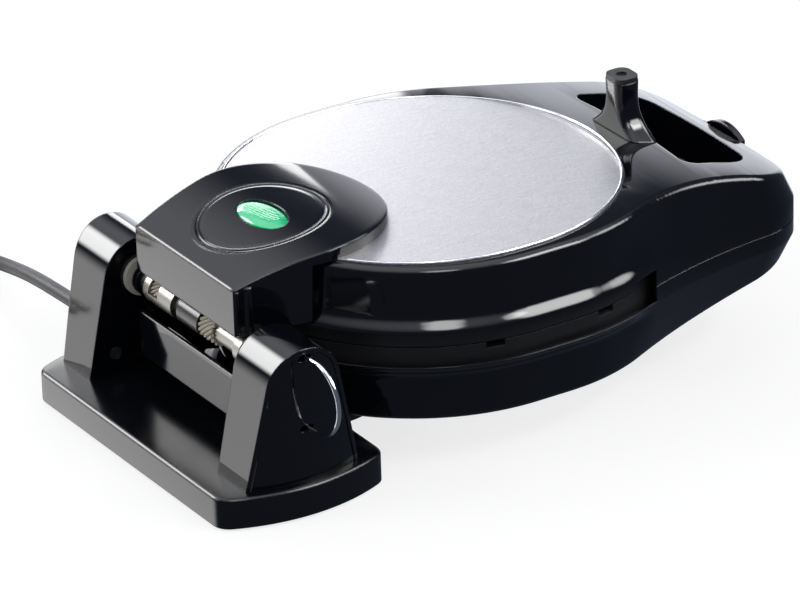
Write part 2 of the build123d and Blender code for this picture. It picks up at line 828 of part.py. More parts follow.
def element():
    height = plate_height + element_tube_r
    arc = CenterArc((cavity_x, 0), element_r, 180 + element_gap_deg, 360 - 2 * element_gap_deg)
    tube = sweep(Plane(origin=arc @ 0, z_dir=arc % 0) * Circle(element_tube_r), path=arc)
    for end in (arc @ 0, arc @ 1):
        tube += Pos(end.X, end.Y, 0) * Sphere(element_tube_r)
        tube += rod_z(end.X, end.Y, element_tube_r - 0.4, 0, element_pin_height)
    return Pos(0, 0, height) * tube


def shield_post_places():
    r = shield_post_circle_r
    turns = [math.radians(a) for a in shield_post_angles]
    return [(cavity_x + r * math.cos(a), r * math.sin(a)) for a in turns]


def shield():
    sheet = Pos(cavity_x, 0, shield_height) * extrude(Circle(shield_r), shield_thickness)
    for end_y in (-1, 1):
        x = cavity_x - element_r * math.cos(math.radians(element_gap_deg))
        y = end_y * element_r * math.sin(math.radians(element_gap_deg))
        sheet -= rod_z(x, y, element_tube_r + 1, 0, tall)
    for x, y in shield_post_places():
        sheet += rod_z(x, y, shield_post_r, plate_height + 0.02, shield_height)
    return sheet


def bracket(barrels, window):
    top = plate_height + bracket_thickness + 0.1
    web_x = body_rear_x - plate_r - 0.6
    bottom = plate_height + 0.1
    w = bracket_half_width
    body = block(web_x - bracket_thickness, bracket_front_x, -w, w, bottom, top)
    body -= rod_z(insert_x, 0, 1.6, 0, tall)
    for y0, y1 in barrels:
        body += block(web_x - bracket_thickness, web_x, y0, y1, arm_bottom, top)
        body += block(0, web_x, y0, y1, arm_bottom, arm_bottom + 2.5)
        body += rod_y(0, 0, barrel_r, y0, y1)
    for y0, y1 in barrels:
        body -= rod_y(0, 0, tube_r + running_gap, y0 - 1, y1 + 1)
    if window:
        y0, y1 = far_sleeve_y
        body -= rod_y(0, 0, sleeve_r, y0 - 0.3, y1 + 0.3)
        body -= block(-barrel_r - 1, -1, y0 + 3, y1 - 2, 0, barrel_r + 1)
    return body


element_solid = element()
shield_solid = shield()
thermostat_height = plate_height + running_gap + thermostat_size[2] / 2
thermostat_solid = Pos(cavity_x, 0, thermostat_height) * Box(*thermostat_size)
lamp_bottom = plate_height + bracket_thickness + 0.15
lamp_solid = rod_z(insert_x, 0, lamp_r, lamp_bottom, rim_height + disc_thickness - 0.2)
lamp_solid += rod_z(insert_x, 0, lamp_r + 1.2, lamp_bottom, lamp_collar_height)
screws_solid = []
for x, y in boss_places():
    screw = rod_z(x, y, screw_head_r, screw_seat, screw_seat + screw_head_height)
    screw += rod_z(x, y, screw_r, plate_height - 5.5, screw_seat)
    screws_solid.append(screw)
for side, place, barrels in (("upper", upper, upper_barrels), ("lower", lower, lower_barrels)):
    write(place(element_solid), f"{side}_heating_element")
    write(place(shield_solid), f"{side}_heat_shield")
    write(place(bracket(barrels, side == "upper")), f"{side}_hinge_bracket")
    write(place(lamp_solid), f"{side}_lamp")
    write(place(Compound(screws_solid)), f"{side}_shell_screws")
write(upper(thermostat_solid), "thermostat")


# Latch: a clip on a pin in the upper handle, hooked under the lower handle's ledge

def latch_front():
    """The clip's outline across the handle, with a domed tab at the top."""
    w = latch_half_width
    dome = ThreePointArc((w, latch_shoulder_height), (0, latch_tab_height), (-w, latch_shoulder_height))
    sides = Polyline(dome @ 1, (-w, -latch_hook_height), (w, -latch_hook_height), dome @ 0)
    return make_face([dome, *sides.edges()])


latch_y = latch_half_width
latch = Pos(latch_in_x, 0, 0) * extrude(Plane.YZ * latch_front(), latch_thickness)
hook_top = latch_hook_thickness - latch_hook_height
latch += block(latch_wall_x - latch_hook_length, latch_out_x, -latch_y, latch_y, -latch_hook_height, hook_top)
latch += rod_y(latch_pin_x, latch_pin_height, latch_boss_r, -latch_y, latch_y)
latch -= rod_y(latch_pin_x, latch_pin_height, latch_pin_r + running_gap, -latch_y - 1, latch_y + 1)
write(upper(latch), "latch_clip")
pin_end = latch_y + latch_cheek - 0.4
write(upper(rod_y(latch_pin_x, latch_pin_height, latch_pin_r, -pin_end, pin_end)), "latch_pin")


# Terminal block inside the base

terminal_top = base_top - base_wall - 0.5
terminal = Pos(0, terminal_y, (seat_floor + terminal_top) / 2) * Box(
    terminal_length, terminal_width, terminal_top - seat_floor - 2 * running_gap
)
write(terminal, "terminal_block")


# Supply cord: tapered strain relief, free stretch, put-away coil with a tie, and plug

exit_point = Vector(0, upright_outer_y, cord_exit_height)
relief_end = exit_point + Vector(0, relief_length, 0)
relief = Pos(0, exit_point.Y + relief_length / 2 - 0.2, cord_exit_height) * Rot(-90, 0, 0) * Cone(
    relief_root_r, cord_r + 0.9, relief_length
)
relief += rod_y(0, cord_exit_height, relief_neck_r, plate_back_y - relief_flange, exit_point.Y)
relief += rod_y(0, cord_exit_height, relief_root_r - 0.4, plate_back_y - relief_flange, plate_back_y - 0.4)
relief -= rod_y(0, cord_exit_height, cord_r, plate_back_y - relief_flange - 1, relief_end.Y + 1)
write(relief, "strain_relief")


def coil_station(turn):
    """A point of the coil and its direction, by turns from its start: in, up a layer, and out again."""
    total = 2 * coil_layer_turns + 0.5

    def place(t):
        if t < coil_layer_turns:
            r = coil_outer_r - coil_pitch * t
        elif t < coil_layer_turns + 0.5:
            r = coil_outer_r - coil_pitch * coil_layer_turns
        else:
            r = coil_outer_r - coil_pitch * (total - t)
        climb = min(max((t - coil_layer_turns) / 0.5, 0.0), 1.0)
        height = cord_r + coil_floor + coil_layer_rise * climb * climb * (3 - 2 * climb)
        angle = math.radians(coil_start_deg) + 2 * math.pi * t
        return Vector(coil_centre[0] + r * math.cos(angle), coil_centre[1] + r * math.sin(angle), height)

    step = 1e-4
    direction = place(min(turn + step, total)) - place(max(turn - step, 0))
    return place(turn), direction.normalized()


def biarc(p0, t0, p1, t1):
    """Two arcs that join two points in the given directions."""
    v = p1 - p0
    t = t0 + t1
    k = 2 * (1 - t0.dot(t1))
    if k < 1e-9:
        d = v.dot(v) / (4 * v.dot(t1))
    else:
        d = (-v.dot(t) + math.sqrt(v.dot(t) ** 2 + k * v.dot(v))) / k
    middle = (p0 + t0 * d + p1 - t1 * d) * 0.5
    return [TangentArc(p0, middle, tangent=t0), TangentArc(p1, middle, tangent=t1 * -1)]


def tube_along(path, r, name):
    start = path @ 0
    solid = sweep(Plane(origin=start, z_dir=path % 0) * Circle(r), path=path)
    ratio = solid.volume / (math.pi * r * r * path.length)
    print(name, "length", round(path.length, 1), "volume ratio", round(ratio, 4))
    return solid, path


coil_turns = 2 * coil_layer_turns + 0.5
coil_steps = round(coil_turns * 4)
coil_edges = []
for i in range(coil_steps):
    p0, t0 = coil_station(coil_turns * i / coil_steps)
    p1, t1 = coil_station(coil_turns * (i + 1) / coil_steps)
    coil_edges += biarc(p0, t0, p1, t1)

# The coil's end comes down to the plug, which lies beside it
coil_end, end_direction = coil_station(coil_turns)
outward = Vector(end_direction.Y, -end_direction.X, 0).normalized()
plug_direction = Vector(end_direction.X, end_direction.Y, 0).rotate(Axis.Z, -plug_turn_deg).normalized()
plug_root = Vector(coil_end.X, coil_end.Y, 0) + end_direction * tail_length + outward * tail_offset
plug_root = Vector(plug_root.X, plug_root.Y, plug_thickness / 2 + coil_floor)
coil_edges += biarc(coil_end, end_direction, plug_root, plug_direction)
coil, coil_path = tube_along(Wire(coil_edges), cord_r, "cord_coil")

samples = [coil_station(coil_turns * i / 300)[0] for i in range(301)]
least = min((samples[i] - samples[j]).length for i in range(301) for j in range(i + 40, 301))
print("cord_coil least gap to itself", round(least - 2 * cord_r, 2))
write(coil, "cord_coil")

coil_start, coil_direction = coil_station(0)
lead_in = coil_start - coil_direction * 24
route = [relief_end] + [Vector(*p) for p in cord_points] + [lead_in, coil_start]
radii = []
for a, b, c in zip(route, route[1:], route[2:]):
    turn = math.radians((b - a).get_angle(c - b))
    radii.append(0.45 * min((b - a).length, (c - b).length) / math.tan(turn / 2))
runs = [round((b - a).length) for a, b in zip(route, route[1:])]
print("supply_cord radii", [round(r) for r in radii], "runs", runs)
cord_path = FilletPolyline(*route, radius=radii)
cord, cord_wire = tube_along(cord_path, cord_r, "supply_cord")
inner_stub = rod_y(0, cord_exit_height, cord_r, plate_back_y - relief_flange - 1, relief_end.Y)
cord = cord + inner_stub
write(cord, "supply_cord")

plug_plane = Plane(origin=plug_root, x_dir=(-plug_direction.Y, plug_direction.X, 0), z_dir=plug_direction)
plug_neck = Pos(0, 0, plug_neck_length / 2) * Cone(cord_r + 0.6, cord_r + 2.2, plug_neck_length)
plug_grip = loft(
    [
        Pos(0, 0, plug_neck_length - 3) * RectangleRounded(14, 11, 4),
        Pos(0, 0, plug_neck_length + 8) * RectangleRounded(plug_width - 5, plug_thickness, 6),
        Pos(0, 0, plug_neck_length + plug_length) * RectangleRounded(plug_width, plug_thickness, 6),
    ]
)
write(plug_plane * (plug_neck + plug_grip), "plug_body")
pin_middle = plug_neck_length + plug_length + plug_pin_length / 2
pins = [
    plug_plane * Pos(side * plug_pin_spacing / 2, 0, pin_middle) * Cylinder(plug_pin_r, plug_pin_length)
    for side in (-1, 1)
]
write(Compound(pins), "plug_pins")

tie_angle = math.radians(coil_start_deg + 90)
tie_r = coil_outer_r - coil_pitch / 2
tie_half = coil_pitch / 2 + cord_r + tie_thickness + 0.6
tie_height = coil_layer_rise + 2 * cord_r + coil_floor + tie_thickness + 0.2
tie = block(-tie_half, tie_half, -tie_width / 2, tie_width / 2, 0, tie_height)
tie_inner = tie_half - tie_thickness
tie -= block(-tie_inner, tie_inner, -tie_width, tie_width, -1, tie_height - tie_thickness)
tie = Pos(*coil_centre, 0) * Rot(0, 0, math.degrees(tie_angle)) * Pos(tie_r, 0, 0) * tie
write(tie, "cord_tie")
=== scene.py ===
import json
import math

import bmesh
import bpy
from mathutils import Matrix, Vector

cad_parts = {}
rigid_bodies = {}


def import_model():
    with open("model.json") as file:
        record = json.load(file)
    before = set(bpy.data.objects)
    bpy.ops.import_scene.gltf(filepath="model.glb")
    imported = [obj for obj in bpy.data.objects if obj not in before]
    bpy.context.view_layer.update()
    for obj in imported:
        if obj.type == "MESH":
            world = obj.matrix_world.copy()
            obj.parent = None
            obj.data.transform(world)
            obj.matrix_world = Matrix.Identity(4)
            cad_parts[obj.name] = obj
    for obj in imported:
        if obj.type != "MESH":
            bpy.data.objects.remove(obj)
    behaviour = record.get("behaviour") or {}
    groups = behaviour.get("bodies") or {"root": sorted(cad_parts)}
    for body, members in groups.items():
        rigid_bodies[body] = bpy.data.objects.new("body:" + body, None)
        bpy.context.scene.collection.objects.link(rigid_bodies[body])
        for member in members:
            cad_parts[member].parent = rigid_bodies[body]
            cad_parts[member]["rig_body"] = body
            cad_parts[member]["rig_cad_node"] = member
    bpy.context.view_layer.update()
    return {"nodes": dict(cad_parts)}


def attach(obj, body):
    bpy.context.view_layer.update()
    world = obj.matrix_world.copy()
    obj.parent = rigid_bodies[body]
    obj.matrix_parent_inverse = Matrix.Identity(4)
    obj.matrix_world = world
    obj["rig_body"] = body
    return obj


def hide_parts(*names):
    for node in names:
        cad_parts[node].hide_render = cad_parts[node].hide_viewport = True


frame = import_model()


# View and light
# The waffle maker stands on a white table in a bright studio, seen from the near left, from above and from
# far away. Three softboxes light it, and its polished surfaces mirror soft bright patches of the studio.

camera_azimuth = math.radians(-31.53)
camera_elevation = math.radians(25.66)
camera_roll = math.radians(-1.77)
camera_distance = 3.528
camera_target = Vector((0.100, -0.0254, 0.0606))
camera_lens = 312.8
camera_sensor_width = 36.0
camera_sight = 20.0


def add_object(name, data):
    """An object in the scene, for a mesh, a curve, a lamp or a camera."""
    item = bpy.data.objects.new(name, data)
    bpy.context.scene.collection.objects.link(item)
    return item


toward_camera = Vector((
    math.sin(camera_azimuth) * math.cos(camera_elevation),
    -math.cos(camera_azimuth) * math.cos(camera_elevation),
    math.sin(camera_elevation),
))
level_right = Vector((0, 0, 1)).cross(toward_camera).normalized()
level_up = toward_camera.cross(level_right)
camera_right = level_right * math.cos(camera_roll) + level_up * math.sin(camera_roll)
camera_up = level_up * math.cos(camera_roll) - level_right * math.sin(camera_roll)
camera_axes = Matrix((camera_right, camera_up, toward_camera)).transposed().to_4x4()
camera = add_object("camera", bpy.data.cameras.new("camera"))
camera.data.lens = camera_lens
camera.data.sensor_width = camera_sensor_width
camera.data.clip_end = camera_sight
camera.matrix_world = Matrix.Translation(camera_target + toward_camera * camera_distance) @ camera_axes
bpy.context.scene.camera = camera
bpy.context.scene.view_settings.view_transform = "Standard"


def linear(hex_colour):
    """A colour written as sRGB hex, as the linear values that the shader takes."""
    parts = [int(hex_colour[i:i + 2], 16) / 255 for i in (1, 3, 5)]
    return [p / 12.92 if p <= 0.04045 else ((p + 0.055) / 1.055) ** 2.4 for p in parts] + [1.0]


def add_node(tree, kind, inputs=None, **settings):
    """A node with its settings; an input that is a socket is linked, and any other is set."""
    node = tree.nodes.new(kind)
    for key, value in settings.items():
        setattr(node, key, value)
    for socket, value in (inputs or {}).items():
        if isinstance(value, bpy.types.NodeSocket):
            tree.links.new(value, node.inputs[socket])
        else:
            node.inputs[socket].default_value = value
    return node


def softbox(name, place, target, size, power):
    """A rectangular studio light of a given width and height, turned toward a point on the object."""
    lamp = bpy.data.lights.new(name, "AREA")
    lamp.shape = "RECTANGLE"
    lamp.size, lamp.size_y = size
    lamp.energy = power
    facing = (Vector(target) - Vector(place)).to_track_quat("-Z", "Y").to_matrix().to_4x4()
    add_object(name, lamp).matrix_world = Matrix.Translation(place) @ facing


softbox("back softbox", place=(0.36, 0.95, 0.42), target=(0.14, 0.06, 0.11), size=(0.60, 0.16), power=1.7)
softbox("left softbox", place=(-1.3, 0.5, 0.9), target=(0.05, 0.0, 0.06), size=(0.5, 0.9), power=5.0)
softbox("front softbox", place=(0.9, -1.1, 1.5), target=(0.12, 0.0, 0.08), size=(0.9, 0.25), power=5.0)


def studio_patch(tree, direction, toward, inner, outer, colour, radiance):
    """A soft round light in the studio, full within the inner angle and gone at the outer one, in degrees."""
    facing = add_node(tree, "ShaderNodeVectorMath", {0: direction, 1: Vector(toward).normalized()},
                      operation="DOT_PRODUCT")
    amount = add_node(tree, "ShaderNodeMapRange", {
        "Value": facing.outputs["Value"],
        "From Min": math.cos(math.radians(outer)), "From Max": math.cos(math.radians(inner)),
        "To Min": 0.0, "To Max": radiance,
    }, interpolation_type="SMOOTHSTEP")
    patch = add_node(tree, "ShaderNodeVectorMath", {0: linear(colour)[:3], "Scale": amount.outputs["Result"]},
                     operation="SCALE")
    return patch.outputs["Vector"]


# What a mirror sees: grey walls, and on them patches of light, each by the way toward it, its two angles, its
# colour and its radiance.
studio_walls = "#525967"
studio_patches = [
    ((-0.47, 0.77, -0.43), 10, 34, "#f4f2f0", 2.5),  # low, behind on the left
    ((-0.43, 0.77, 0.47), 10, 20, "#ffffff", 13.0),  # high, behind on the left
    ((0.47, -0.56, 0.68), 7, 15, "#ffffff", 12.0),  # high, in front on the right
    ((0.76, -0.26, 0.60), 6, 15, "#ffffff", 9.0),  # high, on the right
    ((-0.21, -0.59, 0.77), 4, 10, "#ffffff", 9.0),  # high, in front
    ((-0.10, 0.80, 0.60), 8, 30, "#f2f4fa", 1.0),  # high, behind
    ((0.52, 0.85, -0.06), 8, 29, "#eef0f8", 2.1),  # level, behind on the right
    ((0.0, 0.0, 1.0), 10, 58, "#f0f3fa", 1.7),  # the ceiling
]
world = bpy.data.worlds.new("studio")
bpy.context.scene.world = world
world.use_nodes = True
tree = world.node_tree
tree.nodes.clear()
path = add_node(tree, "ShaderNodeLightPath")
direction = add_node(tree, "ShaderNodeTexCoord").outputs["Generated"]
seen = linear(studio_walls)[:3]
for patch in studio_patches:
    lit = studio_patch(tree, direction, *patch)
    seen = add_node(tree, "ShaderNodeVectorMath", {0: seen, 1: lit}, operation="ADD").outputs["Vector"]
mirrored = add_node(tree, "ShaderNodeBackground", {"Color": seen, "Strength": 1.0})
room = add_node(tree, "ShaderNodeBackground", {"Color": linear("#f2f4f8"), "Strength": 0.55})
white = add_node(tree, "ShaderNodeBackground", {"Color": linear("#ffffff"), "Strength": 1.0})
indoors = add_node(tree, "ShaderNodeMixShader",
                   {0: path.outputs["Is Glossy Ray"], 1: room.outputs[0], 2: mirrored.outputs[0]})
mixed = add_node(tree, "ShaderNodeMixShader",
                 {0: path.outputs["Is Camera Ray"], 1: indoors.outputs[0], 2: white.outputs[0]})
add_node(tree, "ShaderNodeOutputWorld", {"Surface": mixed.outputs[0]})

# The table is grey to the light, so that it keeps the shadow, and glows white to the camera.
table_reach = 6.0
table_corners = [(-table_reach, -table_reach, 0), (table_reach, -table_reach, 0),
                 (table_reach, table_reach, 0), (-table_reach, table_reach, 0)]
floor_mesh = bpy.data.meshes.new("floor")
floor_mesh.from_pydata(table_corners, [], [(0, 1, 2, 3)])
floor = add_object("floor", floor_mesh)
floor.visible_glossy = False
floor_paint = bpy.data.materials.new("matt white table")
floor_paint.use_nodes = True
tree = floor_paint.node_tree
tree.nodes.clear()
path = add_node(tree, "ShaderNodeLightPath")
shade = add_node(tree, "ShaderNodeBsdfDiffuse", {"Color": linear("#a8a8a8")})
glow = add_node(tree, "ShaderNodeEmission", {"Color": linear("#ffffff"), "Strength": 0.76})
glowing = add_node(tree, "ShaderNodeAddShader", {0: shade.outputs[0], 1: glow.outputs[0]})
sheet = add_node(tree, "ShaderNodeMixShader",
                 {0: path.outputs["Is Camera Ray"], 1: shade.outputs[0], 2: glowing.outputs[0]})
add_node(tree, "ShaderNodeOutputMaterial", {"Surface": sheet.outputs[0]})
floor.data.materials.append(floor_paint)


# Supply cord
# A round black two-core lead in a matt rubber jacket. It leaves the far upright through its strain relief,
# comes down to the table, and its unseen length lies in a small coil with a tie, ending in a plug.

cord_diameter = 0.0075
relief_end = (0.0, 0.1234, 0.025)
cord_points = [(0, 0.150, 0.0240), (0.0015, 0.185, 0.0205), (0.004, 0.216, 0.0135), (0.0055, 0.246, 0.0065),
               (0.002, 0.275, 0.0039)]
lead_in_length = 0.024
coil_centre = Vector((-0.030, 0.330, 0))
coil_outer_r = 0.045
coil_pitch = 0.0094
coil_layer_rise = 0.0084
coil_start = math.radians(-10.0)
coil_turns = 2.5
coil_climb_start = 1.0
coil_climb_turns = 0.5
coil_floor = 0.0039
points_a_turn = 14
tail_length = 0.052
tail_offset = 0.009
tail_straight = 0.016
tail_bow = 0.001
plug_height = 0.00765
plug_lead_in = 0.014
plug_turn = math.radians(-24)
tangent_step = 0.001


def clamped(share):
    """A share kept from 0 to 1."""
    return min(max(share, 0.0), 1.0)


def eased(share):
    """A share kept from 0 to 1, which leaves 0 and reaches 1 gently."""
    share = clamped(share)
    return share * share * (3 - 2 * share)


def coil_point(turn):
    """Round the coil: inwards for a turn, up to the second layer, and outwards again."""
    r = coil_outer_r - coil_pitch * min(turn, coil_climb_start, coil_turns - turn)
    angle = coil_start + 2 * math.pi * turn
    rise = coil_layer_rise * eased((turn - coil_climb_start) / coil_climb_turns)
    return coil_centre + Vector((r * math.cos(angle), r * math.sin(angle), coil_floor + rise))


coil_count = round(coil_turns * points_a_turn)
coil = [coil_point(coil_turns * i / coil_count) for i in range(coil_count + 1)]
lead_in = coil[0] - (coil[1] - coil[0]).normalized() * lead_in_length
end_direction = (coil_point(coil_turns) - coil_point(coil_turns - tangent_step)).normalized()
outward = Vector((end_direction.y, -end_direction.x, 0))
plug_root = Vector((coil[-1].x, coil[-1].y, 0)) + end_direction * tail_length + outward * tail_offset
plug_root.z = plug_height
plug_direction = end_direction.copy()
plug_direction.rotate(Matrix.Rotation(plug_turn, 3, "Z"))
tail = [
    coil[-1] + end_direction * tail_straight,
    (coil[-1] + plug_root) / 2 + outward * tail_bow,
    plug_root - plug_direction * plug_lead_in,
    plug_root,
]
route = [relief_end] + cord_points + [lead_in] + coil + tail
cord_curve = bpy.data.curves.new("supply cord", "CURVE")
cord_curve.dimensions = "3D"
cord_curve.bevel_depth = cord_diameter / 2
cord_curve.bevel_resolution = 6
cord_curve.resolution_u = 8
cord_curve.use_fill_caps = True
spline = cord_curve.splines.new("NURBS")
spline.points.add(len(route) - 1)
for point, place in zip(spline.points, route):
    point.co = (*place, 1)
spline.order_u = 3
spline.use_endpoint_u = True
cord = add_object("supply_cord_lead", cord_curve)

flow_marks_scale = 22.0
flow_marks_range = (0.3, 0.7)
gloss_wear = 4


def surface(name):
    """A material with a bare shader, ready for its nodes."""
    material = bpy.data.materials.new(name)
    material.use_nodes = True
    tree = material.node_tree
    tree.nodes.clear()
    shader = add_node(tree, "ShaderNodeBsdfPrincipled")
    add_node(tree, "ShaderNodeOutputMaterial", {"Surface": shader.outputs[0]})
    return material, tree, shader


def moulded(name, colour, roughness, grain, depth, edge=0.0004, wear=0.04, metallic=0.0):
    """An even surface: faint marks in colour and gloss, a grain of a real size, and softened edges."""
    material, tree, shader = surface(name)
    place = add_node(tree, "ShaderNodeTexCoord").outputs["Object"]
    fine = add_node(tree, "ShaderNodeTexNoise", {"Vector": place, "Scale": 1 / grain, "Detail": 3.0})
    broad = add_node(tree, "ShaderNodeTexNoise", {"Vector": place, "Scale": flow_marks_scale, "Detail": 2.0})
    gloss = add_node(tree, "ShaderNodeMapRange", {
        "Value": broad.outputs["Fac"], "From Min": flow_marks_range[0], "From Max": flow_marks_range[1],
        "To Min": roughness * (1 - wear * gloss_wear), "To Max": roughness * (1 + wear * gloss_wear),
    })
    tone = add_node(tree, "ShaderNodeMapRange", {
        "Value": fine.outputs["Fac"], "To Min": 1 - wear, "To Max": 1 + wear,
    })
    tint = add_node(tree, "ShaderNodeVectorMath", {0: linear(colour)[:3], "Scale": tone.outputs["Result"]},
                    operation="SCALE")
    rounded = add_node(tree, "ShaderNodeBevel", {"Radius": edge}, samples=4)
    bump = add_node(tree, "ShaderNodeBump", {
        "Height": fine.outputs["Fac"], "Distance": depth, "Strength": 1.0,
        "Normal": rounded.outputs["Normal"],
    })
    tree.links.new(tint.outputs["Vector"], shader.inputs["Base Color"])
    tree.links.new(gloss.outputs["Result"], shader.inputs["Roughness"])
    tree.links.new(bump.outputs["Normal"], shader.inputs["Normal"])
    shader.inputs["Metallic"].default_value = metallic
    return material


# Dull dark grey with a wide soft highlight, and a pebble that is just felt.
jacket = moulded("matt rubber jacket", "#2b2b2d", roughness=0.55, grain=0.0012, depth=0.00003)
cord_curve.materials.append(jacket)
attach(cord, "stand")

weld_distance = 0.000002
smooth_angle = 32.0


def shade_smoothly(data, angle):
    """Smooth faces, but for the edges that are sharper than an angle in degrees."""
    data.shade_smooth()
    data.set_sharp_from_angle(angle=math.radians(angle))


def smooth_copy(node, angle=smooth_angle):
    """A CAD node's mesh with its corners joined, so that its curved faces shade as one."""
    copy = frame["nodes"][node].copy()
    copy.data = copy.data.copy()
    copy.name = node + "_finished"
    copy.data.name = node + "_finished"
    copy.parent = None
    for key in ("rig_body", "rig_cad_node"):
        if key in copy:
            del copy[key]
    bpy.context.scene.collection.objects.link(copy)
    mesh = bmesh.new()
    mesh.from_mesh(copy.data)
    bmesh.ops.remove_doubles(mesh, verts=mesh.verts, dist=weld_distance)
    mesh.to_mesh(copy.data)
    mesh.free()
    if copy.data.has_custom_normals:
        copy.data.attributes.remove(copy.data.attributes["custom_normal"])
    shade_smoothly(copy.data, angle)
    return copy


def stand_in(piece, node, material):
    """Gives a piece its one material, and puts it in a CAD node's place on the node's body."""
    piece.data.materials.clear()
    piece.data.materials.append(material)
    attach(piece, frame["nodes"][node]["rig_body"])
    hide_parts(node)
    return piece


def dress(node, material, slot, **form):
    """A smoothed copy of a CAD node, in its place and in its material."""
    return stand_in(smooth_copy(node, **form), node, material)


# Near black and half matt, a little livelier than the jacket.
rubber = moulded("moulded rubber", "#242426", roughness=0.5, grain=0.0009, depth=0.00003)
# Pale warm metal with a clean highlight.
nickel = moulded("nickel plated brass", "#bfbbb0", roughness=0.25, grain=0.0006, depth=0.000005, metallic=1.0)
dress("strain_relief", rubber, "rubber")
tie = dress("cord_tie", rubber, "rubber")
plug = dress("plug_body", rubber, "rubber")
pins = dress("plug_pins", nickel, "brass")
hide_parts("supply_cord", "cord_coil")


# Stand
# A hollow base and two A-shaped uprights, injection moulded in black ABS and polished in the tool. The
# uprights are screwed down from below, a plate closes each on its outer side, and each holds a bush for the
# pivot tube.

# Deep black that mirrors the studio, with edges that catch a thin bright line.
gloss_black = moulded("polished black ABS", "#0a0c12", roughness=0.07, grain=0.0007, depth=0.0000008,
                      edge=0.0012)
# The same black, with its reflections spread a little.
stand_black = moulded("black ABS with a fine satin", "#0b0d12", roughness=0.2, grain=0.0005, depth=0.000002,
                      edge=0.0012)
# Charcoal with a broad sheen, for what lies in the shade.
satin_black = moulded("satin black ABS", "#131417", roughness=0.3, grain=0.0006, depth=0.00001, edge=0.0005)
# Even bluish grey metal, softly mirrored.
sheet_steel = moulded("zinc plated steel", "#a9abad", roughness=0.3, grain=0.0008, depth=0.000004,
                      metallic=1.0)
# Ivory plastic with a waxy shine.
acetal = moulded("natural acetal", "#cfcabd", roughness=0.4, grain=0.001, depth=0.00001)
dress("base_shell", stand_black, "black_gloss")
for node in ("near_upright", "far_upright", "near_upright_plate", "far_upright_plate"):
    dress(node, gloss_black, "black_gloss")
dress("base_bottom_cover", satin_black, "black_satin")
dress("base_pad", rubber, "rubber")
dress("base_screws", sheet_steel, "sheet_steel")
dress("upright_screws", sheet_steel, "sheet_steel")
dress("near_bush", acetal, "bush")
dress("far_bush", acetal, "bush")
dress("terminal_block", acetal, "terminal")


# Pivot
# A drawn steel tube that turns in the two bushes, with a black collar on it. Sleeves of glass fibre for the
# leads lie round it, each made of strands that are laid side by side.

pivot_height = 0.0685
draw_lines = (900, 30, 900)

# Grey metal with fine lines along the tube, brighter and duller by turns.
tube_steel, tree, shader = surface("drawn steel tube")
place = add_node(tree, "ShaderNodeTexCoord").outputs["Object"]
lines = add_node(tree, "ShaderNodeMapping", {"Vector": place, "Scale": draw_lines})
drawn = add_node(tree, "ShaderNodeTexNoise", {"Vector": lines.outputs["Vector"], "Scale": 1.0, "Detail": 3.0})
shine = add_node(tree, "ShaderNodeMapRange", {"Value": drawn.outputs["Fac"], "To Min": 0.3, "To Max": 0.5})
dull = add_node(tree, "ShaderNodeBump", {"Height": drawn.outputs["Fac"], "Distance": 0.00002})
shader.inputs["Base Color"].default_value = linear("#97958f")
shader.inputs["Metallic"].default_value = 1.0
tree.links.new(shine.outputs["Result"], shader.inputs["Roughness"])
tree.links.new(dull.outputs["Normal"], shader.inputs["Normal"])

thread_width = 0.0011
thread_slant = (0.0, 0.6, 0.78)
waves_apart_at_scale_one = 0.32

# Cream yarn with slanting threads and a dusty sheen; the gaps between the threads are painted darker, as
# painted shade in their hollows.
braid, tree, shader = surface("braided glass-fibre sleeve")
place = add_node(tree, "ShaderNodeTexCoord").outputs["Object"]
turned = add_node(tree, "ShaderNodeMapping", {"Vector": place, "Rotation": thread_slant})
threads = add_node(tree, "ShaderNodeTexWave", {
    "Vector": turned.outputs["Vector"], "Scale": waves_apart_at_scale_one / thread_width,
    "Distortion": 1.5,
})
# The darker of the two colours lies where the weave is lowest: painted shade between the threads.
cream_with_painted_gap_shade = add_node(tree, "ShaderNodeMix", {"Factor": threads.outputs["Fac"], "A": linear("#b9ad93"),
                                         "B": linear("#efe8d6")}, data_type="RGBA")
weave = add_node(tree, "ShaderNodeBump", {"Height": threads.outputs["Fac"], "Distance": 0.0003})
shader.inputs["Roughness"].default_value = 0.85
shader.inputs["Sheen Weight"].default_value = 0.3
tree.links.new(cream_with_painted_gap_shade.outputs["Result"], shader.inputs["Base Color"])
tree.links.new(weave.outputs["Normal"], shader.inputs["Normal"])

dress("pivot_tube", tube_steel, "tube_steel")
dress("tube_collar", gloss_black, "black_gloss")


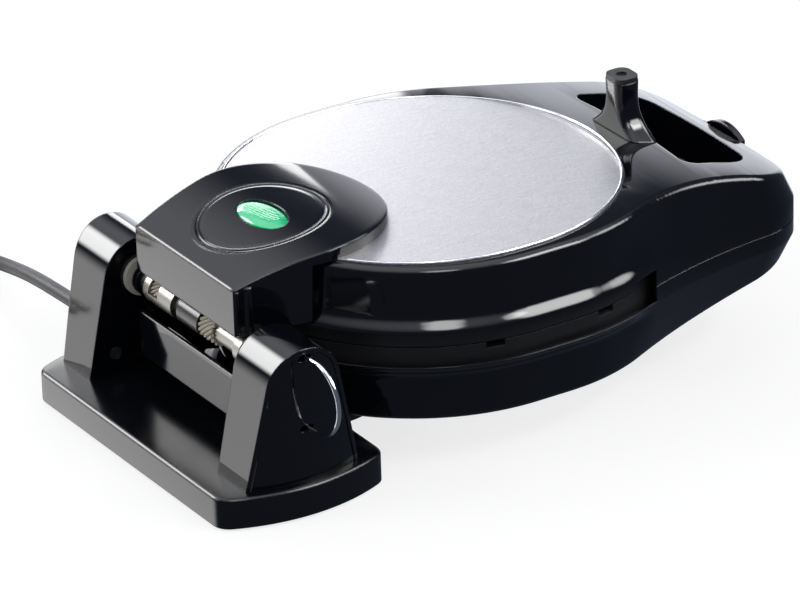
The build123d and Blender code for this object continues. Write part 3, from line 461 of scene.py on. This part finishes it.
def strand_tree(name, material):
    """Strands laid side by side round a tube, each a spiral, with sizes as named inputs."""
    tree = bpy.data.node_groups.new(name, "GeometryNodeTree")
    face = tree.interface
    face.new_socket("Strands", in_out="INPUT", socket_type="NodeSocketInt")
    for size in ("Radius", "Strand Radius", "Length", "Turns", "Start", "Height"):
        face.new_socket(size, in_out="INPUT", socket_type="NodeSocketFloat")
    face.new_socket("Geometry", in_out="OUTPUT", socket_type="NodeSocketGeometry")
    given = tree.nodes.new("NodeGroupInput").outputs
    spiral = add_node(tree, "GeometryNodeCurveSpiral", {
        "Resolution": 40, "Rotations": given["Turns"], "Start Radius": given["Radius"],
        "End Radius": given["Radius"], "Height": given["Length"],
    })
    profile = add_node(tree, "GeometryNodeCurvePrimitiveCircle",
                       {"Resolution": 8, "Radius": given["Strand Radius"]})
    strand = add_node(tree, "GeometryNodeCurveToMesh", {
        "Curve": spiral.outputs["Curve"], "Profile Curve": profile.outputs["Curve"], "Fill Caps": True,
    })
    places = add_node(tree, "GeometryNodeMeshLine", {"Count": given["Strands"], "Offset": (0.0, 0.0, 0.0)})
    number = add_node(tree, "GeometryNodeInputIndex")
    share = add_node(tree, "ShaderNodeMath", {0: number.outputs[0], 1: given["Strands"]}, operation="DIVIDE")
    angle = add_node(tree, "ShaderNodeMath", {0: share.outputs[0], 1: 2 * math.pi}, operation="MULTIPLY")
    turned = add_node(tree, "ShaderNodeCombineXYZ", {"Z": angle.outputs[0]})
    laid = add_node(tree, "GeometryNodeInstanceOnPoints", {
        "Points": places.outputs["Mesh"], "Instance": strand.outputs["Mesh"], "Rotation": turned.outputs[0],
    })
    shift = add_node(tree, "ShaderNodeCombineXYZ", {"Y": given["Start"], "Z": given["Height"]})
    along = add_node(tree, "GeometryNodeTransform", {
        "Geometry": laid.outputs["Instances"], "Translation": shift.outputs[0],
        "Rotation": (math.radians(-90), 0.0, 0.0),
    })
    whole = add_node(tree, "GeometryNodeRealizeInstances", {"Geometry": along.outputs["Geometry"]})
    dyed = add_node(tree, "GeometryNodeSetMaterial", {"Geometry": whole.outputs["Geometry"]})
    dyed.inputs["Material"].default_value = material
    out = tree.nodes.new("NodeGroupOutput")
    tree.links.new(dyed.outputs["Geometry"], out.inputs["Geometry"])
    return tree


def evaluated_mesh(carrier):
    """The mesh that an object's modifiers or curve settings make."""
    return bpy.data.meshes.new_from_object(carrier.evaluated_get(bpy.context.evaluated_depsgraph_get()))


def made_plain(carrier, name):
    """What a carrier makes, as a plain smooth mesh object in the carrier's place."""
    mesh = evaluated_mesh(carrier)
    bpy.data.objects.remove(carrier)
    mesh.shade_smooth()
    return add_object(name, mesh)


def strand_bundle(name, tree, sizes):
    """What the strand tree makes for these sizes."""
    carrier = add_object(name + "_nodes", bpy.data.meshes.new(name + "_nodes"))
    modifier = carrier.modifiers.new("repeat", "NODES")
    modifier.node_group = tree
    for socket in tree.interface.items_tree:
        if socket.in_out == "INPUT" and socket.name in sizes:
            modifier[socket.identifier] = sizes[socket.name]
    return made_plain(carrier, name)


# Each sleeve by its node, and by its start along the tube, its length, its radius and the radius of a strand.
sleeves = (("far_lead_sleeve", 0.0300, 0.0140, 0.0070, 0.0008),
           ("near_lead_sleeve", -0.0200, 0.0137, 0.0080, 0.0010))
strand_count = 16
strand_turns = 0.22
strands = strand_tree("laid strands", braid)
for node, start, length, radius, strand_r in sleeves:
    bundle = strand_bundle(node + "_strands", strands, {
        "Strands": strand_count, "Radius": radius - strand_r, "Strand Radius": strand_r,
        "Length": length - strand_r, "Turns": strand_turns, "Start": start + strand_r / 2,
        "Height": pivot_height,
    })
    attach(bundle, frame["nodes"][node]["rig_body"])
    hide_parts(node)


# Lock and pull ring
# A notched steel disc turns with the tube, and a black yoke with two prongs, which slides in the near
# upright, locks it. The ring that draws the yoke is chromed steel wire, bent into a bow, and swings on its
# two turned-in ends.

# Clear mirror with a faint unevenness along the wire.
chrome = moulded("chromed wire", "#e3e4e6", roughness=0.07, grain=0.0008, depth=0.000002, metallic=1.0)
dress("lock_disc", sheet_steel, "sheet_steel")
dress("lock_yoke", satin_black, "black_satin")

ring_wire_r = 0.0013
ring_bow_r = 0.0193
ring_bow_steps = 72
ring_bend_r = 0.0016
ring_bend_steps = 8
ring_end = 0.0036
ring_bow_out = 0.0132
ring_axis = Vector((0, -0.0910, 0.0658))
ring_swing = math.radians(4.9)


def arc(centre, r, start, end, count):
    """Points round an arc, with its angles in degrees."""
    angles = [math.radians(start + (end - start) * i / count) for i in range(count + 1)]
    return [(centre[0] + r * math.cos(a), centre[1] + r * math.sin(a)) for a in angles]


def wire(name, points, radius, sides=20):
    """A round wire along some points, as a plain mesh object."""
    line = bpy.data.curves.new(name, "CURVE")
    line.dimensions = "3D"
    line.bevel_depth = radius
    line.bevel_resolution = sides // 4
    line.use_fill_caps = True
    run = line.splines.new("POLY")
    run.points.add(len(points) - 1)
    for point, place in zip(run.points, points):
        point.co = (*place, 1)
    return made_plain(add_object(name + "_line", line), name)


bend_top = ring_bow_r - ring_bend_r
outline = [(0, bend_top - ring_end)] + arc((ring_bend_r, bend_top), ring_bend_r, 180, 90, ring_bend_steps)
outline += arc((ring_bow_out, 0), ring_bow_r, 90, -90, ring_bow_steps)
outline += arc((ring_bend_r, -bend_top), ring_bend_r, -90, -180, ring_bend_steps) + [(0, ring_end - bend_top)]
swing = Matrix.Rotation(ring_swing, 4, "Z")
ring = wire("pull_ring_wire", [ring_axis + swing @ Vector((0, -out, up)) for out, up in outline], ring_wire_r)
ring.data.materials.append(chrome)
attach(ring, "ring")
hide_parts("pull_ring")


# Shells of the two halves
# Deep black mouldings, polished outside, each with its half of the handle and screwed to its cast plate.
# Their wall flares out to a lip where the two halves meet, and more gently to the rim, but not along the
# handle.

body_rear_centre = 0.130
body_front_centre = 0.150
body_r = 0.1145
wall_from_r = 0.100
flare_depth = 0.0034
flare_top = 0.0170
lip_height = 0.0090
rim_height = 0.0420
handle_start = 0.208
handle_blend = 0.025
flare_cuts = (0.0100, 0.0110, 0.0120, 0.0130, 0.0140, 0.0150, 0.0160, 0.0170, 0.0190, 0.0230, 0.0290, 0.0350)
cut_tolerance = 1e-7


def flare_inset(height, x):
    """How far the wall stands in from its straight form, by the height from the middle plane."""
    rise = eased((height - lip_height) / (flare_top - lip_height))
    fall = clamped((rim_height - height) / (rim_height - flare_top))
    fade = eased((handle_start - x) / handle_blend)
    return flare_depth * rise * fall * fade


def flared_shell(node, side):
    """A shell whose CAD wall is cut level at some heights, and drawn in between the lip and the rim."""
    shell = smooth_copy(node)
    mesh = bmesh.new()
    mesh.from_mesh(shell.data)
    for height in flare_cuts:
        everything = mesh.verts[:] + mesh.edges[:] + mesh.faces[:]
        bmesh.ops.bisect_plane(mesh, geom=everything, dist=cut_tolerance, plane_no=(0, 0, 1),
                               plane_co=(0, 0, pivot_height + side * height))
    for vertex in mesh.verts:
        x, y, z = vertex.co
        centre_x = min(max(x, body_rear_centre), body_front_centre)
        out = Vector((x - centre_x, y, 0))
        if out.length > wall_from_r:
            vertex.co -= out.normalized() * flare_inset(side * (z - pivot_height), x)
    mesh.to_mesh(shell.data)
    mesh.free()
    shade_smoothly(shell.data, smooth_angle)
    stand_in(shell, node, gloss_black)


flared_shell("upper_shell", 1)
flared_shell("lower_shell", -1)


# Waffle plates and what they carry
# Cast aluminium with a black non-stick coating, matt and slightly grainy at the edge that shows. Each holds a
# tubular element under a pressed heat shield, and screws hold its shell to it.

# Charcoal with hardly any shine and a fine sandy grain.
coated = moulded("non-stick coated casting", "#1b1b1d", roughness=0.5, grain=0.0005, depth=0.00006)
# Brownish grey metal, dulled by heat.
heated = moulded("oxidised element tube", "#5a5550", roughness=0.45, grain=0.0008, depth=0.00001,
                 metallic=1.0)
# Pale green with a hard small highlight.
clear_lamp = moulded("lamp glass", "#bfe8cf", roughness=0.1, grain=0.001, depth=0.000001)
for side in ("upper", "lower"):
    dress(side + "_waffle_plate", coated, "coated_cast")
    dress(side + "_heating_element", heated, "element_tube")
    dress(side + "_heat_shield", sheet_steel, "sheet_steel")
    dress(side + "_shell_screws", sheet_steel, "sheet_steel")
    dress(side + "_lamp", clear_lamp, "lamp_glass")
dress("thermostat", sheet_steel, "sheet_steel")
dress("upper_hinge_bracket", tube_steel, "tube_steel")
dress("lower_hinge_bracket", satin_black, "black_satin")


# Steel discs
# One covers each half, pressed from stainless sheet with a fine straight grain. Its edge is rolled over, so
# that it shines, and its rear runs under the hinge cover.

grain_width = 0.0005
grain_stretch = 0.04
grain_turn = math.radians(62)
grain_scale = (grain_stretch / grain_width, 1 / grain_width, 1 / grain_width)
speck_scale = 900.0
grain_range = (0.6, 1.4)

# Silver with fine streaks all one way, whose tone and gloss change from streak to streak.
steel, tree, shader = surface("brushed stainless steel")
place = add_node(tree, "ShaderNodeTexCoord").outputs["Object"]
grain = add_node(tree, "ShaderNodeMapping", {"Vector": place, "Rotation": (0, 0, grain_turn),
                                             "Scale": grain_scale})
lines = add_node(tree, "ShaderNodeTexNoise", {"Vector": grain.outputs["Vector"], "Scale": 1.0, "Detail": 4.0})
speck = add_node(tree, "ShaderNodeTexNoise", {"Vector": place, "Scale": speck_scale, "Detail": 2.0})
blend = add_node(tree, "ShaderNodeMath", {0: lines.outputs["Fac"], 1: speck.outputs["Fac"]}, operation="ADD")
shine = add_node(tree, "ShaderNodeMapRange", {
    "Value": blend.outputs[0], "From Min": grain_range[0], "From Max": grain_range[1],
    "To Min": 0.36, "To Max": 0.50,
})
tone = add_node(tree, "ShaderNodeMapRange", {
    "Value": blend.outputs[0], "From Min": grain_range[0], "From Max": grain_range[1],
    "To Min": 0.80, "To Max": 1.12,
})
rounded = add_node(tree, "ShaderNodeBevel", {"Radius": 0.0009}, samples=4)
brushed = add_node(tree, "ShaderNodeBump", {"Height": blend.outputs[0], "Distance": 0.00002,
                                             "Normal": rounded.outputs["Normal"]})
silver = add_node(tree, "ShaderNodeVectorMath", {0: linear("#dcdadb")[:3], "Scale": tone.outputs["Result"]},
                  operation="SCALE")
shader.inputs["Metallic"].default_value = 1.0
tree.links.new(silver.outputs["Vector"], shader.inputs["Base Color"])
tree.links.new(shine.outputs["Result"], shader.inputs["Roughness"])
tree.links.new(brushed.outputs["Normal"], shader.inputs["Normal"])
# The same steel without its grain, for a thin bright line round the disc.
bright_steel = moulded("rolled steel edge", "#e6e6e7", roughness=0.16, grain=0.0006, depth=0.000003,
                       metallic=1.0)

disc_rear_centre = 0.1265
disc_front_centre = 0.1340
disc_r = 0.100
disc_top = 0.0430
edge_bead_r = 0.0007
edge_bead_sink = 0.0002
cover_front_crossing = 0.0475


def disc_edge(name, sign):
    """A thin bead round the disc's upper edge, from one side of the hinge cover to the other."""
    bead = []
    for degrees in range(-180, 181):
        angle = math.radians(degrees)
        centre = disc_front_centre if math.cos(angle) > 0 else disc_rear_centre
        x = centre + (disc_r - edge_bead_r) * math.cos(angle)
        y = (disc_r - edge_bead_r) * math.sin(angle)
        if x > cover_front_crossing:
            bead.append((x, y, pivot_height + sign * (disc_top - edge_bead_sink)))
    return wire(name, bead, edge_bead_r, sides=8)


for side, sign in (("upper", 1), ("lower", -1)):
    dress(side + "_disc", steel, "brushed_steel")
    edge = disc_edge(side + "_disc_rolled_edge", sign)
    edge.data.materials.append(bright_steel)
    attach(edge, side + "_half")


# Hinge covers
# Polished black covers, moulded with a crowned top, rounded edges and two upright ribs on each rear corner.
# Each closes the rear of its half over the hinge, reaches over the disc, and has a round hole for its insert.

cover_rear = -0.0106
cover_half_width = 0.0478
cover_round_x = 0.0425
cover_round_r = 0.0575
cover_foot = 0.0116
cover_over_disc = 0.0424
cover_edge_r = 0.0011
cover_wall = 0.0025
cover_rear_steps = 20
cover_flank_steps = 40
cover_front_steps = 80
cover_edge_steps = 6
cover_top_steps = 12
cover_smooth_angle = 40.0
crown_points = ((cover_rear, 0.0365), (0.0550, 0.0496), (cover_round_x + cover_round_r, 0.0458))
insert_x = 0.0360
insert_r = 0.0336
insert_gap = 0.00022
insert_sink = 0.0014
hole_edge_r = 0.0004


def circle_through(points):
    """The centre and the radius of the circle through three points."""
    (x1, z1), (x2, z2), (x3, z3) = points
    a = 2 * (x2 - x1)
    b = 2 * (z2 - z1)
    c = x2 ** 2 - x1 ** 2 + z2 ** 2 - z1 ** 2
    d = 2 * (x3 - x1)
    e = 2 * (z3 - z1)
    f = x3 ** 2 - x1 ** 2 + z3 ** 2 - z1 ** 2
    x = (c * e - b * f) / (a * e - b * d)
    z = (a * f - c * d) / (a * e - b * d)
    return x, z, math.hypot(x1 - x, z1 - z)


crown_x, crown_z, crown_r = circle_through(crown_points)


def crown_height(x):
    """The height of the cover's top, which follows one arc from its rear to its front."""
    return crown_z + math.sqrt(crown_r ** 2 - (x - crown_x) ** 2)


def straight_run(start, end, count):
    """Points along a straight line, without its end."""
    return [(start[0] + (end[0] - start[0]) * i / count, start[1] + (end[1] - start[1]) * i / count)
            for i in range(count)]


def cover_outline(inset):
    """Points round the cover, the same number for every inset, from the far rear corner."""
    rear_x = cover_rear + inset
    half = cover_half_width - inset
    r = cover_round_r - inset
    corner_x = rear_x - cover_round_x
    touch = math.atan2(-half, corner_x) + math.acos(r / math.hypot(corner_x, half))
    tangent = (cover_round_x + r * math.cos(touch), r * math.sin(touch))
    rear = straight_run((rear_x, half), (rear_x, -half), cover_rear_steps)
    near = straight_run((rear_x, -half), tangent, cover_flank_steps)
    front = arc((cover_round_x, 0), r, math.degrees(touch), -math.degrees(touch), cover_front_steps)
    far = [(x, -y) for x, y in reversed(near[1:])]
    return rear + near + front + far


def join_rings(mesh, rings):
    """Adds rings of the same number of points to a mesh, each joined to the next by faces."""
    rows = [[mesh.verts.new(point) for point in ring] for ring in rings]
    for first, second in zip(rows, rows[1:]):
        for j in range(len(first)):
            k = (j + 1) % len(first)
            mesh.faces.new((first[j], first[k], second[k], second[j]))
    return rows


def open_skin(name, rings):
    """A skin over some rings, open at both ends."""
    mesh = bmesh.new()
    join_rings(mesh, rings)
    data = bpy.data.meshes.new(name)
    mesh.to_mesh(data)
    mesh.free()
    return add_object(name, data)


def finished(piece, sign, wall=0.0):
    """Gives a skin its wall, turns it over for the lower half, and smooths it."""
    if wall:
        modifier = piece.modifiers.new("wall", "SOLIDIFY")
        modifier.thickness = wall
        modifier.offset = -1.0
        data = evaluated_mesh(piece)
        piece.modifiers.clear()
        piece.data = data
    for vertex in piece.data.vertices:
        vertex.co.z = pivot_height + sign * vertex.co.z
    mesh = bmesh.new()
    mesh.from_mesh(piece.data)
    bmesh.ops.recalc_face_normals(mesh, faces=mesh.faces)
    mesh.to_mesh(piece.data)
    mesh.free()
    shade_smoothly(piece.data, cover_smooth_angle)
    return piece


def toward_insert(point, share, radius):
    """A point on the way from the outline to a circle round the insert's middle."""
    angle = math.atan2(point[1], point[0] - insert_x)
    x = point[0] + (insert_x + radius * math.cos(angle) - point[0]) * share
    y = point[1] + (radius * math.sin(angle) - point[1]) * share
    return x, y


def cover_piece(name, sign):
    """A cover, up its sides, round its edge, over its crown and down into the hole for its insert."""
    foot = [(x, y, cover_over_disc if math.hypot(x - body_rear_centre, y) < body_r else cover_foot)
            for x, y in cover_outline(0)]
    rings = [foot]
    for step in range(cover_edge_steps + 1):
        turn = math.radians(90 * step / cover_edge_steps)
        inset = cover_edge_r * (1 - math.cos(turn))
        drop = cover_edge_r * (1 - math.sin(turn))
        rings.append([(x, y, crown_height(x) - drop) for x, y in cover_outline(inset)])
    rim = cover_outline(cover_edge_r)
    hole = insert_r + insert_gap
    for step in range(1, cover_top_steps + 1):
        ring = [toward_insert(point, step / cover_top_steps, hole + hole_edge_r) for point in rim]
        rings.append([(x, y, crown_height(x)) for x, y in ring])
    hole_edge = (hole + 0.25 * hole_edge_r, 0.3 * hole_edge_r)
    for radius, drop in (hole_edge, (hole, hole_edge_r), (hole, insert_sink)):
        ring = [toward_insert(point, 1, radius) for point in rim]
        rings.append([(x, y, crown_height(x) - drop) for x, y in ring])
    return finished(open_skin(name, rings), sign, wall=cover_wall)


# Each rib by its place along and across, its radius, and the height of its top.
corner_ribs = ((-0.0086, 0.0470, 0.0019, 0.0358), (-0.0026, 0.0480, 0.0028, 0.0378))
rib_foot = 0.0122
rib_sides = 24
rib_dome_steps = 6
rib_dome_flatness = 0.6
small_piece_angle = 50.0


def closed_piece(name, mesh):
    """A closed bmesh as a piece, with its faces pointing outwards."""
    bmesh.ops.recalc_face_normals(mesh, faces=mesh.faces)
    data = bpy.data.meshes.new(name)
    mesh.to_mesh(data)
    mesh.free()
    shade_smoothly(data, small_piece_angle)
    return add_object(name, data)


def corner_rib_piece(name, sign):
    """Two upright round ribs with domed tops on each rear corner of a cover."""
    mesh = bmesh.new()
    for x, y, r, top in corner_ribs:
        levels = [(rib_foot, r)]
        for step in range(rib_dome_steps):
            turn = math.radians(90 * step / rib_dome_steps)
            levels.append((top - rib_dome_flatness * r * (1 - math.sin(turn)), r * math.cos(turn)))
        for side in (-1, 1):
            rings = []
            for up, radius in levels:
                circle = arc((x, side * y), radius, 0, 360, rib_sides)[:-1]
                rings.append([(along, across, pivot_height + sign * up) for along, across in circle])
            rows = join_rings(mesh, rings)
            mesh.faces.new(rows[0][::-1])
            mesh.faces.new(rows[-1])
    return closed_piece(name, mesh)


for side, sign in (("upper", 1), ("lower", -1)):
    cover = cover_piece(side + "_hinge_cover_moulding", sign)
    cover.data.materials.append(gloss_black)
    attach(cover, side + "_half")
    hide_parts(side + "_hinge_cover")
    ribs = corner_rib_piece(side + "_cover_corner_ribs", sign)
    ribs.data.materials.append(gloss_black)
    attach(ribs, side + "_half")


# Inserts and lenses
# A round black plate lies in the hole of each hinge cover, moulded with a raised rounded rim and an oval
# opening. In the opening sits a domed lens of green plastic with fine ribs, lit from within by a small lamp.

# The rim's form from its outside inward: how far in, and how far above the cover's crown.
insert_rim = ((0.0, -0.0013), (0.0, -0.0001), (0.0002, 0.00013), (0.0005, 0.0002), (0.0009, 0.0002),
              (0.0013, 0.0001), (0.0016, -0.00015), (0.0020, -0.00022), (0.0025, -0.0001), (0.0032, 0.0))
insert_spokes = 144
insert_steps = 8
insert_thickness = 0.0013
lens_gap = 0.0002
lens_half_x = 0.0100
lens_half_y = 0.0184
lens_top = 0.0498
lens_crown = 0.0022
lens_crown_at_edge = 0.75
lens_border = 0.86
lens_border_blend = 0.12
lens_rib_pitch = 0.0017
lens_rib_height = 0.00022
lens_skirt = 0.0440
lens_rings = 40
lens_spokes = 120
lens_weld_distance = 0.0000005

# Clear even green that glows softly, with fine lines across it under a wet gloss.
green, tree, shader = surface("green lens")
place = add_node(tree, "ShaderNodeTexCoord").outputs["Object"]
across = add_node(tree, "ShaderNodeTexWave", {"Vector": place, "Scale": 260.0}, bands_direction="Y")
glowing = add_node(tree, "ShaderNodeMix", {"Factor": across.outputs["Fac"], "A": linear("#04b56f"),
                                           "B": linear("#1edd95")}, data_type="RGBA")
tree.links.new(glowing.outputs["Result"], shader.inputs["Base Color"])
tree.links.new(glowing.outputs["Result"], shader.inputs["Emission Color"])
shader.inputs["Roughness"].default_value = 0.06
shader.inputs["Emission Strength"].default_value = 0.34
shader.inputs["Coat Weight"].default_value = 1.0


def insert_piece(name, sign):
    """A round plate with a raised rounded rim, open in the middle for the lens."""
    angles = [2 * math.pi * j / insert_spokes for j in range(insert_spokes)]
    rings = []
    for inset, up in insert_rim:
        r = insert_r - inset
        circle = [(insert_x + r * math.cos(a), r * math.sin(a)) for a in angles]
        rings.append([(x, y, crown_height(x) + up) for x, y in circle])
    start = insert_r - insert_rim[-1][0]
    for step in range(1, insert_steps + 1):
        share = step / insert_steps
        half_x = start + (lens_half_x + lens_gap - start) * share
        half_y = start + (lens_half_y + lens_gap - start) * share
        oval = [(insert_x + half_x * math.cos(a), half_y * math.sin(a)) for a in angles]
        rings.append([(x, y, crown_height(x)) for x, y in oval])
    rings.append([(x, y, z - insert_thickness) for x, y, z in rings[-1]])
    return finished(open_skin(name, rings), sign)


def lens_piece(name, sign):
    """A domed oval with fine ribs across it, a plain rounded border and a skirt."""
    rings = []
    for i in range(lens_rings + 1):
        r = i / lens_rings
        dome = lens_crown * (lens_crown_at_edge * r ** 4 + (1 - lens_crown_at_edge) * r * r)
        fade = clamped((lens_border - r) / lens_border_blend)
        ring = []
        for j in range(lens_spokes):
            a = 2 * math.pi * j / lens_spokes
            y = lens_half_y * r * math.sin(a)
            rib = lens_rib_height * fade * (0.5 + 0.5 * math.cos(2 * math.pi * y / lens_rib_pitch))
            up = lens_top - lens_rib_height - dome + rib
            ring.append((insert_x + lens_half_x * r * math.cos(a), y, pivot_height + sign * up))
        rings.append(ring)
    rings.append([(x, y, pivot_height + sign * lens_skirt) for x, y, z in rings[-1]])
    mesh = bmesh.new()
    rows = join_rings(mesh, rings)
    mesh.faces.new(rows[-1])
    bmesh.ops.remove_doubles(mesh, verts=mesh.verts, dist=lens_weld_distance)
    return closed_piece(name, mesh)


for side, sign in (("upper", 1), ("lower", -1)):
    insert = insert_piece(side + "_insert_plate", sign)
    insert.data.materials.append(gloss_black)
    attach(insert, side + "_half")
    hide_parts(side + "_insert")
    lens = lens_piece(side + "_ribbed_lens", sign)
    lens.data.materials.append(green)
    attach(lens, side + "_half")
    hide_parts(side + "_lens")


# Feet
# A flared black pillar, moulded in ABS, stands on each shell by its handle, with a rubber tip on its end. The
# lower one holds the closed cooker level on the table, and the upper one does so once the cooker is turned.

for side in ("upper", "lower"):
    dress(side + "_foot", gloss_black, "black_gloss", angle=small_piece_angle)
    dress(side + "_foot_tip", rubber, "rubber")


# Latch
# A black moulded clip with a domed tab in the front of the upper handle. It rocks on a steel pin and hooks
# under a ledge of the lower handle.

dress("latch_clip", gloss_black, "black_gloss")
dress("latch_pin", sheet_steel, "sheet_steel")
